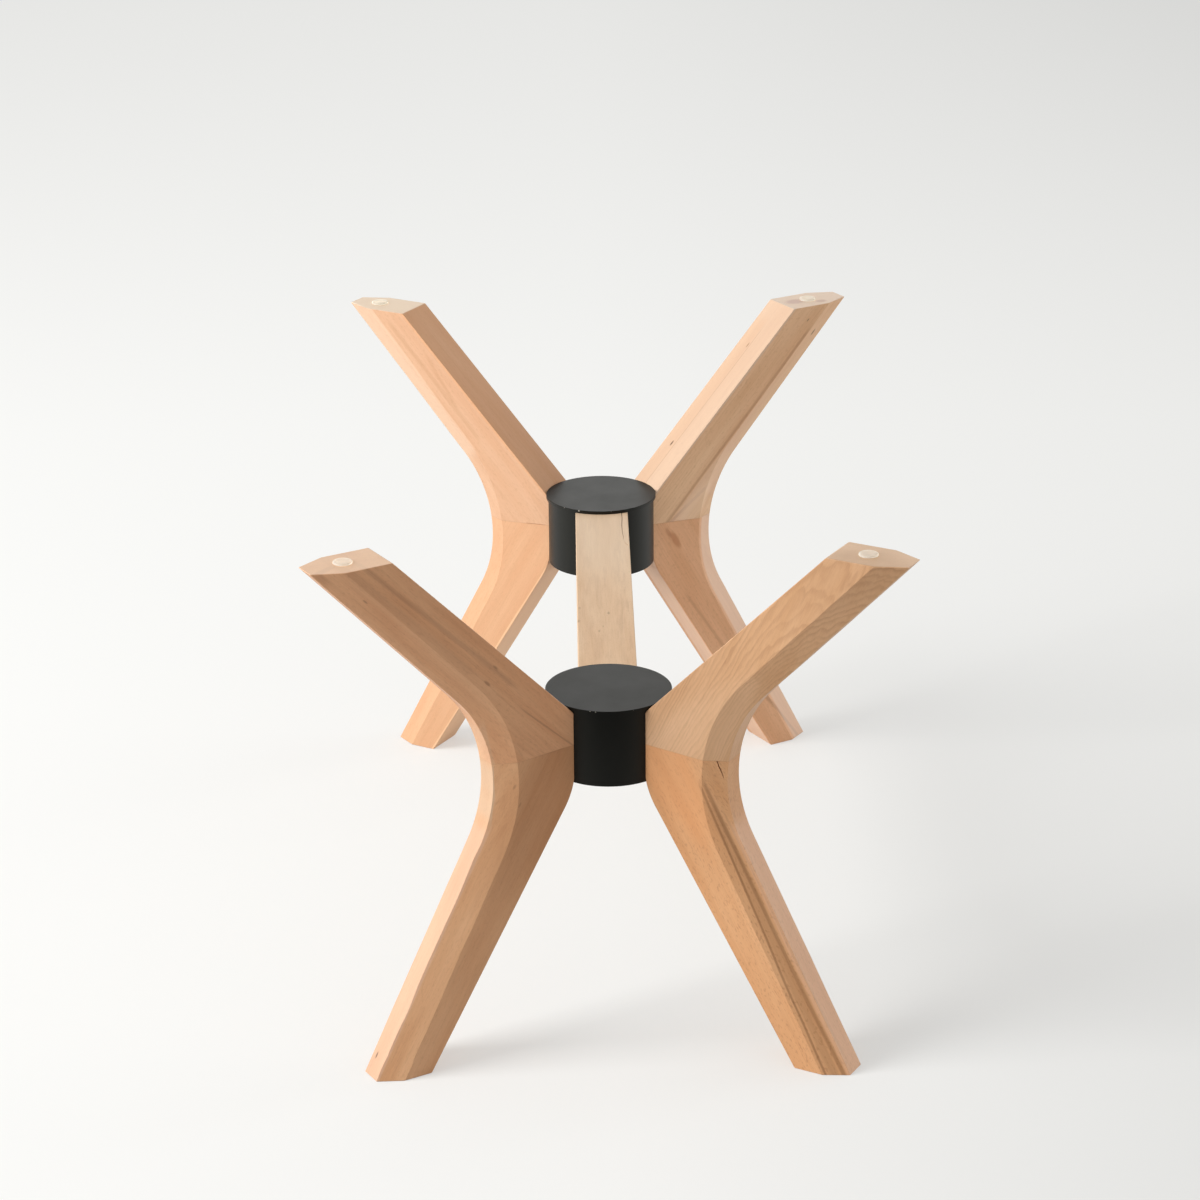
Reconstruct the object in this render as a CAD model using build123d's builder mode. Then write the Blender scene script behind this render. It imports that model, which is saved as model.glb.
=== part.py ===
"""Coffee table base: four mitred beech legs and a stretcher bolted to two painted steel hubs.

Millimetres. Z is up, the feet stand on Z = 0, and the origin is under the middle of the stretcher.
The two hubs stand on the Y axis, and the three members that meet at each hub are 120 degrees apart.
"""
import os
from math import cos, radians, sin, sqrt

from build123d import *

# Base as a whole
leg_height = 400.0          # floor to the sawn top of a leg
hub_spacing = 430.0         # between the axes of the two hubs
hub_top = 262.0             # floor to the top of a hub's cap
leg_angle = 30.0            # of a leg from the X axis, seen from above

# Hubs: a length of steel tube with a wider disc welded on
tube_diameter = 88.9
tube_wall = 3.2
tube_length = 57.0
cap_overhang = 1.8          # of the disc past the tube, all round
cap_thickness = 2.5
hub_edge_break = 0.4        # bevelled edge of the disc and of the tube's open end

# Legs, in the upright plane through a hub's axis: distances are from that axis
top_reach = 182.0           # to the inner edge of the sawn top
top_depth = 58.5            # of the sawn top, from inner to outer edge
foot_reach = 163.0          # to the inner edge of the foot
foot_depth = 41.0           # of the foot, from inner to outer edge
knee_depth = 35.5           # from the tube to the point where the two outer edges would meet
knee_drop = 1.5             # of that point below the middle of the tube
knee_radius = 100.0         # of the curve that joins the two outer edges
seat_drop = 2.0             # from the cap down to the leg's upper inner corner
seat_overhang = 6.0         # of the leg's lower inner corner, before it is eased, below the tube
seat_easing = 60.0          # radius of the curve that eases that corner
seat_waste = 5.0            # of wood past the seat, which the hollow for the tube takes away
leg_thickness = 37.0
outer_flat = 18.0           # width of the flat left between the two outer chamfers
chamfer_depth = 16.0        # of each outer chamfer, along the side of the leg
arris = 0.6                 # sanded edge of the wood

# Stretcher
stretcher_width = 43.5
stretcher_rise = 2.0        # of its underside above the tube's open end

# Dowels that pin the mitre of each leg
dowel_diameter = 8.0
dowel_length = 40.0
dowel_pitch = 16.0
dowel_cover = 2.0           # of wood between the bolts' bores and the first dowel's
dowel_end_room = 1.0        # for glue, past each end of a dowel

# Bolts, saddle washers and threaded inserts, two of each to a member
bolt_diameter = 6.0
bolt_length = 20.0
bolt_head_diameter = 10.0
bolt_head_height = 6.0
bolt_socket = 5.0           # across the flats of the key's hexagon
bolt_socket_depth = 3.0
bolt_pitch = 26.0           # between the two bolts of a member
washer_diameter = 14.0
washer_thickness = 2.0      # at its middle
insert_diameter = 10.0
insert_length = 15.0
insert_flange_diameter = 12.5
insert_flange_thickness = 1.2
insert_recess = 0.5         # below the seat that meets the tube

# Clear bumpers, stuck on the leg tops by eye
bumper_diameter = 14.0
bumper_height = 2.0
bumper_edge = 0.6           # bevel round its upper edge
bumper_offsets = {          # from the inner edge of the sawn top
    "front_left": 29.0,
    "front_right": 23.5,
    "rear_left": 34.5,
    "rear_right": 26.0,
}

# Clearances
paint_gap = 0.2             # between wood and painted steel
bolt_hole_clearance = 0.6   # on the diameter, in the tube and the washer
thread_clearance = 0.2      # on the diameter, between bolt and insert
glue_clearance = 0.2        # on the diameter, round dowels and inserts
bore_end_room = 3.0         # past the inner end of an insert and its bolt

# Heights, and distances from a hub's axis, that follow from these
tube_radius = tube_diameter / 2
tube_bore_radius = tube_radius - tube_wall
cap_radius = tube_radius + cap_overhang
cap_underside = hub_top - cap_thickness
tube_middle = cap_underside - tube_length / 2
tube_bottom = cap_underside - tube_length
seat_radius = tube_radius + paint_gap
bolt_heights = [tube_middle + bolt_pitch / 2, tube_middle - bolt_pitch / 2]
bolt_hole_radius = (bolt_diameter + bolt_hole_clearance) / 2
washer_face = tube_bore_radius - washer_thickness
insert_face = seat_radius + insert_recess
bore_end = max(insert_face + insert_length, washer_face + bolt_length) + bore_end_room
dowel_bore_radius = (dowel_diameter + glue_clearance) / 2
first_dowel = bore_end + dowel_cover + dowel_bore_radius

# The four legs and their hubs, by name
hubs = {"front": -hub_spacing / 2, "rear": hub_spacing / 2}
leg_turns = {
    "front_left": 180 + leg_angle,
    "front_right": -leg_angle,
    "rear_left": 180 - leg_angle,
    "rear_right": leg_angle,
}
stretcher_turns = {"front": 90.0, "rear": -90.0}


def hub_of(name):
    """The hub that a leg belongs to."""
    return name.split("_")[0]


def hub_turns(hub):
    """Directions of the three members that meet at a hub: its two legs and the stretcher."""
    return [turn for name, turn in leg_turns.items() if hub_of(name) == hub] + [stretcher_turns[hub]]


def member_plane(hub, turn):
    """Upright plane of a member: X leads out from the hub's axis and Y leads up."""
    out = Vector(cos(radians(turn)), sin(radians(turn)), 0)
    return Plane(origin=(0, hubs[hub], 0), x_dir=out, z_dir=(out.Y, -out.X, 0))


def bolt_plane(hub, turn, height, reach):
    """Plane across a bolt's axis, at a distance from the hub's axis, facing outwards."""
    out = Vector(cos(radians(turn)), sin(radians(turn)), 0)
    return Plane(origin=Vector(0, hubs[hub], height) + out * reach, x_dir=(0, 0, 1), z_dir=out)


def export(part, name):
    """Labels a finished piece and writes it as a node of its own."""
    part.label = name
    export_step(part, f"parts/{name}.step")


os.makedirs("parts", exist_ok=True)
outwards = (Align.CENTER, Align.CENTER, Align.MIN)
inwards = (Align.CENTER, Align.CENTER, Align.MAX)

# Hubs
for hub, hub_y in hubs.items():
    with BuildPart() as tube:
        with BuildSketch(Plane((0, hub_y, tube_bottom))):
            Circle(tube_radius)
            Circle(tube_bore_radius, mode=Mode.SUBTRACT)
        extrude(amount=tube_length)
        chamfer(tube.edges().group_by(Axis.Z)[0], hub_edge_break)
        for turn in hub_turns(hub):
            for height in bolt_heights:
                with Locations(bolt_plane(hub, turn, height, 0)):
                    Cylinder(bolt_hole_radius, tube_diameter, align=outwards, mode=Mode.SUBTRACT)
    export(tube.part, f"{hub}_hub_tube")

    with BuildPart() as cap:
        with BuildSketch(Plane((0, hub_y, cap_underside))):
            Circle(cap_radius)
        extrude(amount=cap_thickness)
        chamfer(cap.edges().group_by(Axis.Z)[-1], hub_edge_break)
    export(cap.part, f"{hub}_hub_cap")

# Legs: the inner edges run straight to the top and the foot, the lower one from an eased corner
seat_side = sqrt(seat_radius**2 - (leg_thickness / 2) ** 2)
seat_high = (seat_side, cap_underside - seat_drop)
seat_low = (seat_side, tube_bottom - seat_overhang)
top_inner = (top_reach, leg_height)
top_outer = (top_reach + top_depth, leg_height)
foot_inner = (foot_reach, 0.0)
foot_outer = (foot_reach + foot_depth, 0.0)
knee_outer = (tube_radius + knee_depth, tube_middle - knee_drop)
upper_slope = (top_inner[1] - seat_high[1]) / (top_inner[0] - seat_high[0])
waste_high = (seat_side - seat_waste, seat_high[1] - seat_waste * upper_slope)

# Where the two inner edges would meet, inside the tube
lower_slope = (foot_inner[1] - seat_low[1]) / (foot_inner[0] - seat_low[0])
knee_inner_reach = seat_side - (seat_high[1] - seat_low[1]) / (upper_slope - lower_slope)
knee_inner = (knee_inner_reach, seat_high[1] + (knee_inner_reach - seat_side) * upper_slope)

# The mitre is sawn through both meeting points, and the dowels stand square to it
mitre_slope = (knee_outer[1] - knee_inner[1]) / (knee_outer[0] - knee_inner[0])
dowel_reaches = [first_dowel, first_dowel + dowel_pitch]

# A face counts as outer or inner when at least this share of its direction leads from or to the hub
facing = 0.1


def mitre_plane(leg_plane, reach):
    """Plane of a leg's mitre, with its origin at a distance from the hub's axis. Its Z leads up."""
    height = knee_inner[1] + (reach - knee_inner[0]) * mitre_slope
    along = leg_plane.x_dir + leg_plane.y_dir * mitre_slope
    return Plane(
        origin=leg_plane.from_local_coords(Vector(reach, height, 0)),
        x_dir=along,
        z_dir=leg_plane.z_dir.cross(along),
    )


def cut_insert_bores(hub, turn):
    """Stepped bores for a member's two inserts, sunk from the face that seats on the tube."""
    flange_radius = (insert_flange_diameter + glue_clearance) / 2
    flange_end = insert_face + insert_flange_thickness
    body_radius = (insert_diameter + glue_clearance) / 2
    for height in bolt_heights:
        with Locations(bolt_plane(hub, turn, height, 0)):
            Cylinder(flange_radius, flange_end, align=outwards, mode=Mode.SUBTRACT)
            Cylinder(body_radius, bore_end, align=outwards, mode=Mode.SUBTRACT)


def cut_hub_seat(hub):
    """Hollow that fits round a hub's tube, with a step for the wider cap above it."""
    with Locations((0, hubs[hub], 0)):
        Cylinder(seat_radius, leg_height, align=outwards, mode=Mode.SUBTRACT)
    with Locations((0, hubs[hub], cap_underside - paint_gap)):
        Cylinder(cap_radius + paint_gap, leg_height, align=outwards, mode=Mode.SUBTRACT)


def leg_arm(name, turn, half):
    """Upper or lower arm of a leg: its half of the bent, chamfered outline, with its bores."""
    hub = hub_of(name)
    leg_plane = member_plane(hub, turn)
    out = leg_plane.x_dir
    with BuildPart() as arm:
        with BuildSketch(leg_plane):
            with BuildLine():
                FilletPolyline(top_outer, knee_outer, foot_outer, radius=knee_radius)
                Line(foot_outer, foot_inner)
                FilletPolyline(foot_inner, seat_low, waste_high, radius=seat_easing)
                Polyline(waste_high, top_inner, top_outer)
            make_face()
        extrude(amount=leg_thickness / 2, both=True)

        # Long chamfers on both sides of the outer edge
        for side in (1, -1):
            outer = arm.faces().filter_by(lambda face: face.normal_at().dot(out) > facing)
            across = Axis(leg_plane.origin, leg_plane.z_dir * side)
            flank = arm.faces().filter_by(leg_plane).sort_by(across)[-1]
            chamfer(
                flank.edges() & outer.edges(),
                chamfer_depth,
                (leg_thickness - outer_flat) / 2,
                reference=flank,
            )

        # Sanded edges along the inner side and round both sawn ends
        inner = arm.faces().filter_by(lambda face: face.normal_at().dot(out) < -facing)
        flanks = arm.faces().filter_by(leg_plane)
        ends = arm.faces().filter_by(Plane.XY)
        chamfer(ShapeList(set((inner.edges() & flanks.edges()) + ends.edges())), arris)

        cut_hub_seat(hub)
        cut_insert_bores(hub, turn)
        for reach in dowel_reaches:
            with Locations(mitre_plane(leg_plane, reach)):
                Cylinder(dowel_bore_radius, dowel_length + 2 * dowel_end_room, mode=Mode.SUBTRACT)
        split(bisect_by=mitre_plane(leg_plane, first_dowel), keep=half)
    return arm.part


for name, turn in leg_turns.items():
    leg_plane = member_plane(hub_of(name), turn)
    export(leg_arm(name, turn, Keep.TOP), f"{name}_upper_arm")
    export(leg_arm(name, turn, Keep.BOTTOM), f"{name}_lower_arm")

    with BuildPart() as dowels:
        for reach in dowel_reaches:
            with Locations(mitre_plane(leg_plane, reach)):
                Cylinder(dowel_diameter / 2, dowel_length)
    export(dowels.part, f"{name}_knee_dowels")

    bumper_spot = leg_plane.from_local_coords(Vector(top_reach + bumper_offsets[name], leg_height, 0))
    with BuildPart() as bumper:
        with BuildSketch(Plane(bumper_spot)):
            Circle(bumper_diameter / 2)
        extrude(amount=bumper_height)
        chamfer(bumper.edges().group_by(Axis.Z)[-1], bumper_edge)
    export(bumper.part, f"{name}_bumper")

# Stretcher: a straight bar, hollowed at both ends to seat on the tubes
with BuildPart() as stretcher:
    with BuildSketch(Plane((0, 0, tube_bottom + stretcher_rise))):
        Rectangle(stretcher_width, hub_spacing)
    extrude(amount=tube_length - stretcher_rise - paint_gap)
    chamfer(stretcher.edges().filter_by(Axis.Y), arris)
    for hub, turn in stretcher_turns.items():
        cut_hub_seat(hub)
        cut_insert_bores(hub, turn)
export(stretcher.part, "stretcher")


def inserts(hub, turn):
    """The two flanged inserts in the end of a member."""
    thread_radius = (bolt_diameter + thread_clearance) / 2
    for height in bolt_heights:
        with Locations(bolt_plane(hub, turn, height, insert_face)):
            Cylinder(insert_diameter / 2, insert_length, align=outwards)
            Cylinder(insert_flange_diameter / 2, insert_flange_thickness, align=outwards)
            Cylinder(thread_radius, insert_length, align=outwards, mode=Mode.SUBTRACT)


for name, turn in leg_turns.items():
    with BuildPart() as leg_inserts:
        inserts(hub_of(name), turn)
    export(leg_inserts.part, f"{name}_inserts")

with BuildPart() as stretcher_inserts:
    for hub, turn in stretcher_turns.items():
        inserts(hub, turn)
export(stretcher_inserts.part, "stretcher_inserts")

# Saddle washers and bolts, put in from inside each hub
for hub, hub_y in hubs.items():
    places = [(turn, height) for turn in hub_turns(hub) for height in bolt_heights]

    with BuildPart() as washers:
        for turn, height in places:
            with Locations(bolt_plane(hub, turn, height, washer_face)):
                Cylinder(washer_diameter / 2, washer_thickness, align=outwards)
                Cylinder(bolt_hole_radius, washer_thickness, align=outwards, mode=Mode.SUBTRACT)
        with Locations((0, hub_y, tube_bottom)):
            Cylinder(tube_bore_radius, tube_length, align=outwards, mode=Mode.INTERSECT)
    export(washers.part, f"{hub}_hub_washers")

    with BuildPart() as bolts:
        for turn, height in places:
            with Locations(bolt_plane(hub, turn, height, washer_face)):
                Cylinder(bolt_diameter / 2, bolt_length, align=outwards)
                Cylinder(bolt_head_diameter / 2, bolt_head_height, align=inwards)
            with BuildSketch(bolt_plane(hub, turn, height, washer_face - bolt_head_height)):
                RegularPolygon(bolt_socket / 2, 6, major_radius=False)
            extrude(amount=bolt_socket_depth, mode=Mode.SUBTRACT)
    export(bolts.part, f"{hub}_hub_bolts")
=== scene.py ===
import math

import bmesh
import bpy
from mathutils import Matrix, Vector, noise


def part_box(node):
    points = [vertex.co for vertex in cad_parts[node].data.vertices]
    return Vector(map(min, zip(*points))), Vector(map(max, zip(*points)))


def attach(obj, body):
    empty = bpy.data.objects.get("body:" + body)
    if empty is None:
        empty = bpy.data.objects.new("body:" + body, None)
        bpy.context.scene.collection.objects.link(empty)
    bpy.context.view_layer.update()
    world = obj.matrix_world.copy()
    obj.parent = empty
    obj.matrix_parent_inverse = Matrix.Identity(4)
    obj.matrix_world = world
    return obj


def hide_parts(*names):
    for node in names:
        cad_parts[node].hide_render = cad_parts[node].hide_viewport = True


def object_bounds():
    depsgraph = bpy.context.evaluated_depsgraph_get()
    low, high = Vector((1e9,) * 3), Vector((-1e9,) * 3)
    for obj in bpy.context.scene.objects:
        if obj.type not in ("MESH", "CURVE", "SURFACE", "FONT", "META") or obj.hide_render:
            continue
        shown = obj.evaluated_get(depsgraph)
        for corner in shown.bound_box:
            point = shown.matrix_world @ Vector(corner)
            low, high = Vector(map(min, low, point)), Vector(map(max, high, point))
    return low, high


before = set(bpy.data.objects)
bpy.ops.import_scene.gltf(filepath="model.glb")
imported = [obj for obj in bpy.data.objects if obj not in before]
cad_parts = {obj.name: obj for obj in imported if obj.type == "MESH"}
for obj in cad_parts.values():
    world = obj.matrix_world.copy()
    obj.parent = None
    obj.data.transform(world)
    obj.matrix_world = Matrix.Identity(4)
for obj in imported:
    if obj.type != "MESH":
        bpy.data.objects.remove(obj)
cad_low, cad_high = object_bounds()


# Hubs: two short lengths of steel tube, each closed by a slightly wider disc welded on from inside.
# Tube, disc and weld are sprayed satin black as one, and the thin coat has chipped on the rims.
MM = 0.001
hub_places = {"front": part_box("front_hub_cap"), "rear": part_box("rear_hub_cap")}
hub_axis = {hub: (low + high) / 2 for hub, (low, high) in hub_places.items()}
cap_low, cap_high = hub_places["front"]
cap_radius = (cap_high.x - cap_low.x) / 2
cap_underside = cap_low.z
tube_low, tube_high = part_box("front_hub_tube")
tube_radius = (tube_high.x - tube_low.x) / 2
tube_wall = 3.2 * MM
bore_radius = tube_radius - tube_wall


def linear(colour):
    """An sRGB hex colour as the linear RGBA that a shader takes."""
    shares = [int(colour[at:at + 2], 16) / 255 for at in (1, 3, 5)]
    return [share / 12.92 if share <= 0.04045 else ((share + 0.055) / 1.055) ** 2.4
            for share in shares] + [1.0]


def add_node(tree, kind, inputs=None, **settings):
    """Adds a node: settings are its own properties, and an input takes a value or another node's output."""
    made = tree.nodes.new(kind)
    for name, value in settings.items():
        setattr(made, name, value)
    for socket, value in (inputs or {}).items():
        if isinstance(value, bpy.types.NodeSocket):
            tree.links.new(value, made.inputs[socket])
        else:
            made.inputs[socket].default_value = value
    return made


def new_material(name):
    """An empty material and its node tree."""
    material = bpy.data.materials.new(name)
    material.use_nodes = True
    material.node_tree.nodes.clear()
    return material, material.node_tree


def dress(node, material):
    """Gives a CAD piece whose shape is right its finish."""
    for material_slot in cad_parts[node].material_slots:
        material_slot.material = material


def black_paint(hub, chips):
    """Sprayed satin black paint: a soft, slightly patchy sheen with fine orange peel, and bare steel
    where it has chipped."""
    material, tree = new_material(f"black_paint_{hub}")
    place = add_node(tree, "ShaderNodeTexCoord")
    from_cap = add_node(tree, "ShaderNodeMapping", {
        "Vector": place.outputs["Object"], "Location": -hub_axis[hub] / MM,
        "Scale": (1 / MM, 1 / MM, 1 / MM)})
    at = from_cap.outputs["Vector"]
    peel_size, patch_size, ragged_size = 2.2, 35.0, 1.1
    peel = add_node(tree, "ShaderNodeTexNoise", {"Vector": at, "Scale": 1 / peel_size, "Detail": 2.0})
    patch = add_node(tree, "ShaderNodeTexNoise", {
        "Vector": at, "Scale": 1 / patch_size, "Detail": 4.0, "Roughness": 0.6})
    colour = add_node(tree, "ShaderNodeMix", {
        "Factor": patch.outputs["Fac"], 6: linear("#0A0A09"), 7: linear("#10100E")}, data_type="RGBA")
    gloss = add_node(tree, "ShaderNodeMapRange", {
        "Value": patch.outputs["Fac"], "To Min": 0.34, "To Max": 0.50})

    # A chip is bare steel out to a ragged edge, and lies deeper than the orange peel
    chip_reach, chip_sink = 1.5, -3.0
    ragged = add_node(tree, "ShaderNodeTexNoise", {"Vector": at, "Scale": 1 / ragged_size, "Detail": 2.0})
    bare = None
    for chip, size in chips:
        away = add_node(tree, "ShaderNodeVectorMath", {0: at, 1: chip}, operation="DISTANCE")
        edge = add_node(tree, "ShaderNodeMath", {
            0: ragged.outputs["Fac"], 1: size, 2: away.outputs["Value"]}, operation="MULTIPLY_ADD")
        inside = add_node(tree, "ShaderNodeMath", {
            0: edge.outputs[0], 1: size * chip_reach}, operation="LESS_THAN")
        if bare is not None:
            inside = add_node(tree, "ShaderNodeMath", {
                0: bare.outputs[0], 1: inside.outputs[0]}, operation="MAXIMUM")
        bare = inside
    colour = add_node(tree, "ShaderNodeMix", {
        "Factor": bare.outputs[0], 6: colour.outputs[2], 7: linear("#B4AEA2")}, data_type="RGBA")
    relief = add_node(tree, "ShaderNodeMath", {
        0: bare.outputs[0], 1: chip_sink, 2: peel.outputs["Fac"]}, operation="MULTIPLY_ADD")
    bump = add_node(tree, "ShaderNodeBump", {
        "Height": relief.outputs[0], "Strength": 0.25, "Distance": 0.05 * MM})
    shader = add_node(tree, "ShaderNodeBsdfPrincipled", {
        "Base Color": colour.outputs[2], "Metallic": bare.outputs[0], "Roughness": gloss.outputs[0],
        "Specular IOR Level": 0.32, "Specular Tint": linear("#FFFFF4"), "Normal": bump.outputs["Normal"]})
    add_node(tree, "ShaderNodeOutputMaterial", {"Surface": shader.outputs["BSDF"]})
    return material


# Each chip has its place from the middle of the cap, and its size, in mm
rim = cap_radius / MM
hub_chips = {
    "front": [((-10.0, -rim * 0.976, 0.6), 0.45), ((-14.0, -rim * 0.953, 0.9), 0.3),
              ((17.0, -rim * 0.930, 1.0), 0.25)],
    "rear": [((-19.0, -rim * 0.912, 0.8), 0.7), ((-31.0, -rim * 0.742, 1.0), 0.3),
             ((8.0, -rim * 0.985, 1.0), 0.25)],
}
paints = {hub: black_paint(hub, chips) for hub, chips in hub_chips.items()}
for hub, paint in paints.items():
    dress(f"{hub}_hub_tube", paint)
    dress(f"{hub}_hub_cap", paint)


# Welds: a bead run round inside each hub, where the disc meets the bore, and sprayed with the rest.
# The welder's hand shows as overlapping ripples and a slight swelling of the bead.
bead_radius, bead_inset = 2.2 * MM, 0.8 * MM
ripple_count, ripple_depth = 72.0, 0.45 * MM
path_points, section_points = 432, 20
swellings_per_metre = 60.0


def new_tree(name, sizes):
    """An empty geometry tree with named inputs, and the outputs of its Group Input node."""
    tree = bpy.data.node_groups.new(name, "GeometryNodeTree")
    tree.interface.new_socket("Geometry", in_out="INPUT", socket_type="NodeSocketGeometry")
    for size, kind in sizes.items():
        tree.interface.new_socket(size, in_out="INPUT", socket_type=f"NodeSocket{kind}")
    tree.interface.new_socket("Geometry", in_out="OUTPUT", socket_type="NodeSocketGeometry")
    return tree, tree.nodes.new("NodeGroupInput").outputs


def applied(mesh, kind, sizes=None, **settings):
    """The plain mesh that a modifier makes of a mesh; sizes are the named inputs of a geometry tree."""
    carrier = bpy.data.objects.new("carrier", mesh)
    bpy.context.scene.collection.objects.link(carrier)
    modifier = carrier.modifiers.new("shaping", kind)
    for name, value in settings.items():
        setattr(modifier, name, value)
    for item in modifier.node_group.interface.items_tree if sizes else ():
        if item.in_out == "INPUT" and item.name in sizes:
            modifier[item.identifier] = sizes[item.name]
    made = bpy.data.meshes.new_from_object(carrier.evaluated_get(bpy.context.evaluated_depsgraph_get()))
    bpy.data.objects.remove(carrier)
    return made


def keep_piece(name, mesh, slot, *nodes):
    """Makes a mesh a piece of the object under the root body, standing for the given nodes, which it hides;
    the slot is not used.
    """
    piece = bpy.data.objects.new(name, mesh)
    bpy.context.scene.collection.objects.link(piece)
    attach(piece, "root")
    if nodes:
        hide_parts(*nodes)


weld_tree, given = new_tree("weld_bead", {
    "Path radius": "Float", "Bead radius": "Float", "Ripples": "Float", "Ripple depth": "Float",
    "Middle": "Vector", "Paint": "Material"})
path = add_node(weld_tree, "GeometryNodeCurvePrimitiveCircle", {
    "Resolution": path_points, "Radius": given["Path radius"]})
along = add_node(weld_tree, "GeometryNodeSplineParameter")
phase = add_node(weld_tree, "ShaderNodeMath", {
    0: along.outputs["Factor"], 1: given["Ripples"]}, operation="MULTIPLY")
phase = add_node(weld_tree, "ShaderNodeMath", {0: phase.outputs[0], 1: math.pi}, operation="MULTIPLY")
ripple = add_node(weld_tree, "ShaderNodeMath", {0: phase.outputs[0]}, operation="SINE")
ripple = add_node(weld_tree, "ShaderNodeMath", {0: ripple.outputs[0]}, operation="ABSOLUTE")
ripple = add_node(weld_tree, "ShaderNodeMath", {
    0: ripple.outputs[0], 1: given["Ripple depth"]}, operation="MULTIPLY")
spot = add_node(weld_tree, "GeometryNodeInputPosition")
swelling = add_node(weld_tree, "ShaderNodeTexNoise", {
    "Vector": spot.outputs[0], "Scale": swellings_per_metre, "Detail": 1.0})
swelling = add_node(weld_tree, "ShaderNodeMapRange", {
    "Value": swelling.outputs["Fac"], "To Min": 0.75, "To Max": 1.05})
swelling = add_node(weld_tree, "ShaderNodeMath", {
    0: swelling.outputs[0], 1: given["Bead radius"]}, operation="MULTIPLY")
thickness = add_node(weld_tree, "ShaderNodeMath", {
    0: swelling.outputs[0], 1: ripple.outputs[0]}, operation="ADD")
section = add_node(weld_tree, "GeometryNodeCurvePrimitiveCircle", {
    "Resolution": section_points, "Radius": 1.0})
bead = add_node(weld_tree, "GeometryNodeCurveToMesh", {
    "Curve": path.outputs["Curve"], "Profile Curve": section.outputs["Curve"],
    "Scale": thickness.outputs[0]})
bead = add_node(weld_tree, "GeometryNodeSetShadeSmooth", {"Geometry": bead.outputs[0]})
bead = add_node(weld_tree, "GeometryNodeTransform", {
    "Geometry": bead.outputs[0], "Translation": given["Middle"]})
bead = add_node(weld_tree, "GeometryNodeRealizeInstances", {"Geometry": bead.outputs[0]})
bead = add_node(weld_tree, "GeometryNodeSetMaterial", {
    "Geometry": bead.outputs[0], "Material": given["Paint"]})
add_node(weld_tree, "NodeGroupOutput", {"Geometry": bead.outputs[0]})
for hub, paint in paints.items():
    middle = (hub_axis[hub].x, hub_axis[hub].y, cap_underside - bead_inset)
    mesh = applied(bpy.data.meshes.new("start"), "NODES", node_group=weld_tree, sizes={
        "Path radius": bore_radius - bead_inset, "Bead radius": bead_radius, "Ripples": ripple_count,
        "Ripple depth": ripple_depth, "Middle": middle, "Paint": paint})
    keep_piece(f"{hub}_hub_weld", mesh, "black_paint")


# Legs: each is two beech boards, mitred and glued at the knee, then bandsawn, planed and sanded as
# one. The grain runs along each arm, so it breaks at the mitre, and every board has its own tone.
leg_turns = {"front_left": 210.0, "front_right": -30.0, "rear_left": 150.0, "rear_right": 30.0}
knee_reach, knee_height = 60.0 * MM, 231.0 * MM
knee_inner, knee_outer = (16.8 * MM, 233.5 * MM), (79.95 * MM, 229.5 * MM)
arm_slopes = {"upper": 46.0, "lower": -59.8}
half_thickness, bumper_height = 18.5 * MM, 2 * MM
leg_top = cad_high.z - bumper_height
up = Vector((0.0, 0.0, 1.0))


def leg_frame(leg):
    """A leg's hub axis at the floor, the way out from it, and the way across the leg."""
    turn = math.radians(leg_turns[leg])
    out = Vector((math.cos(turn), math.sin(turn), 0.0))
    foot_of_axis = hub_axis[leg.split("_")[0]].copy()
    foot_of_axis.z = 0.0
    return foot_of_axis, out, Vector((out.y, -out.x, 0.0))


def shade_smooth(bm, crease):
    """Shades a mesh smooth, apart from edges sharper than the crease angle in degrees."""
    for face in bm.faces:
        face.smooth = True
    for edge in bm.edges:
        edge.smooth = edge.calc_face_angle(0.0) < math.radians(crease)


def skinned(name, rings, loop=False):
    """A closed skin over rings of points: capped at both ends, or joined end to end as a loop."""
    bm = bmesh.new()
    rows = [[bm.verts.new(point) for point in ring] for ring in rings]
    for near, far in list(zip(rows, rows[1:])) + ([(rows[-1], rows[0])] if loop else []):
        for at in range(len(near)):
            bm.faces.new((near[at - 1], near[at], far[at], far[at - 1]))
    if not loop:
        bm.faces.new(rows[0])
        bm.faces.new(rows[-1])
    bmesh.ops.recalc_face_normals(bm, faces=bm.faces)
    shade_smooth(bm, crease=40)
    mesh = bpy.data.meshes.new(name)
    bm.to_mesh(mesh)
    bm.free()
    return mesh


def slit(stations, inward):
    """A wedge that cuts a split along stations on a surface: place, half the width and depth, in mm."""
    overshoot = 0.6
    rings = []
    for at, (place, half, depth) in enumerate(stations):
        ahead = stations[min(at + 1, len(stations) - 1)][0] - stations[max(at - 1, 0)][0]
        aside = ahead.cross(inward).normalized() * half
        proud = place - inward * overshoot
        rings.append([(proud - aside) * MM, (proud + aside) * MM, (place + inward * depth) * MM])
    return skinned("slit", rings)


def rubbed_edge(edge, leg, mitre_point, mitre_normal):
    """Whether an edge is one of a leg's long outer ones, which the maker rubs round."""
    mitre_slack, end_slack, side_slack, cap_clearance = 0.02 * MM, 1.0 * MM, 0.7 * MM, 2.0 * MM
    cross_edge_side, faces_in = 8.0 * MM, -0.1
    axis_foot, out, across = leg_frame(leg)
    middle = (edge.verts[0].co + edge.verts[1].co) / 2
    side = abs((middle - axis_foot).dot(across))
    away = Vector((middle.x, middle.y - axis_foot.y)).length
    on_mitre = all(abs((vert.co - mitre_point).dot(mitre_normal)) < mitre_slack for vert in edge.verts)
    on_end = middle.z < end_slack or middle.z > leg_top - end_slack
    on_inner_side = side > half_thickness - side_slack and any(
        face.normal.dot(out) < faces_in for face in edge.link_faces)
    clear_of_cap = away > cap_radius + cap_clearance
    return side > cross_edge_side and clear_of_cap and not (on_mitre or on_end or on_inner_side)


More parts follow.
